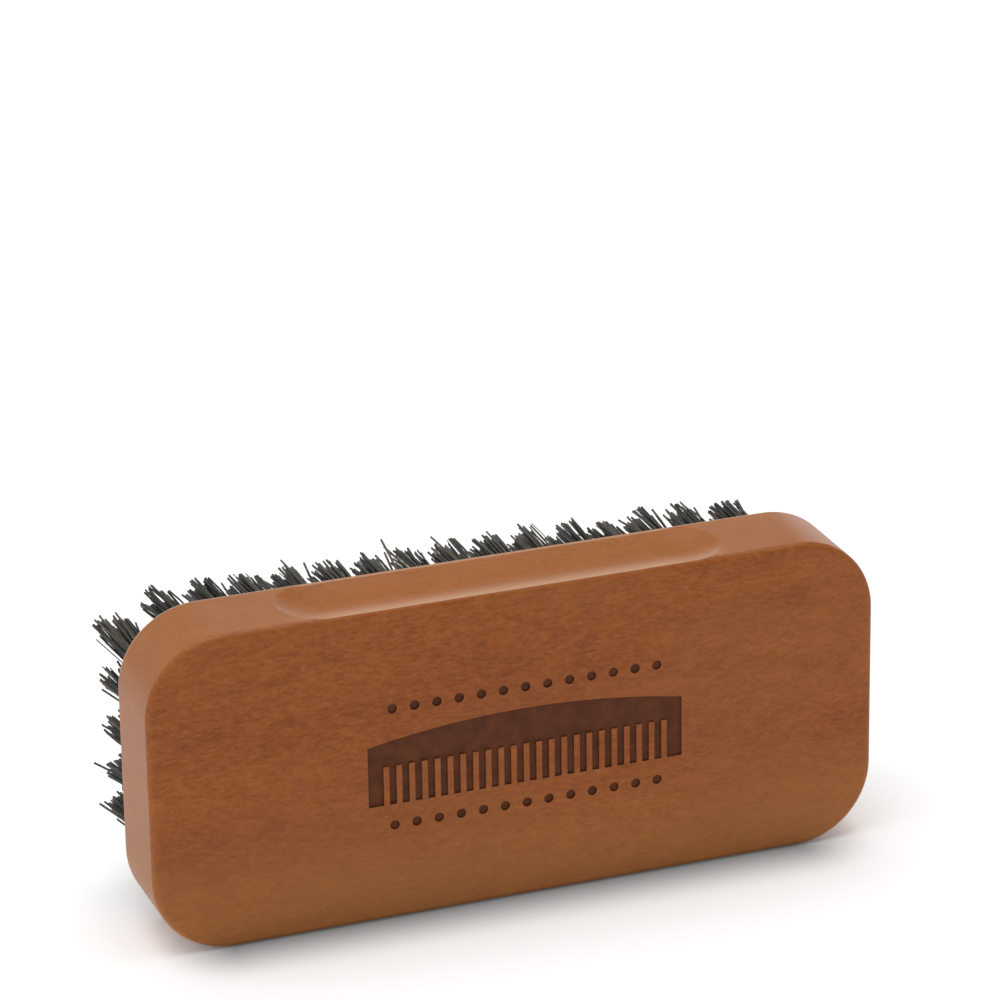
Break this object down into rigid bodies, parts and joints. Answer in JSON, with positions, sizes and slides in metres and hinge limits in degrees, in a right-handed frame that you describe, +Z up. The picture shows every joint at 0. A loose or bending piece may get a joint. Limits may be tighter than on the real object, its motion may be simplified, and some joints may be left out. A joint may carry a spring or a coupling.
{
  "type": "fade brush",
  "caption": "Barber's fade brush: a flat wooden hand block with rounded corners and finger grooves, set with rows of short stiff dark bristle tufts on wire anchors.",
  "frame": {"origin": "on the surface that the brush stands on, under the middle of the whole brush, when it stands on one long side", "axes": "+X along the length of the block; +Z up, across the block's 50 mm side; the marked front face looks to -Y and the bristles point to +Y"},
  "size_m": [0.115, 0.03, 0.05],
  "materials": {
    "block_wood": "fine-grained reddish brown wood under a thin satin oil",
    "bristle": "stiff grey-black bristle with paler cut tips",
    "anchor_wire": "plain flat steel wire"
  },
  "bodies": {
    "root": {"wooden_block": "block_wood", "tuft_column_01": "bristle", "tuft_column_02": "bristle", "tuft_column_03": "bristle", "tuft_column_04": "bristle", "tuft_column_05": "bristle", "tuft_column_06": "bristle", "tuft_column_07": "bristle", "tuft_column_08": "bristle", "tuft_column_09": "bristle", "tuft_column_10": "bristle", "tuft_column_11": "bristle", "tuft_column_12": "bristle", "tuft_column_13": "bristle", "tuft_column_14": "bristle", "tuft_column_15": "bristle", "tuft_column_16": "bristle", "tuft_column_17": "bristle", "anchor_column_01": "anchor_wire", "anchor_column_02": "anchor_wire", "anchor_column_03": "anchor_wire", "anchor_column_04": "anchor_wire", "anchor_column_05": "anchor_wire", "anchor_column_06": "anchor_wire", "anchor_column_07": "anchor_wire", "anchor_column_08": "anchor_wire", "anchor_column_09": "anchor_wire", "anchor_column_10": "anchor_wire", "anchor_column_11": "anchor_wire", "anchor_column_12": "anchor_wire", "anchor_column_13": "anchor_wire", "anchor_column_14": "anchor_wire", "anchor_column_15": "anchor_wire", "anchor_column_16": "anchor_wire", "anchor_column_17": "anchor_wire"}
  },
  "joints": []
}
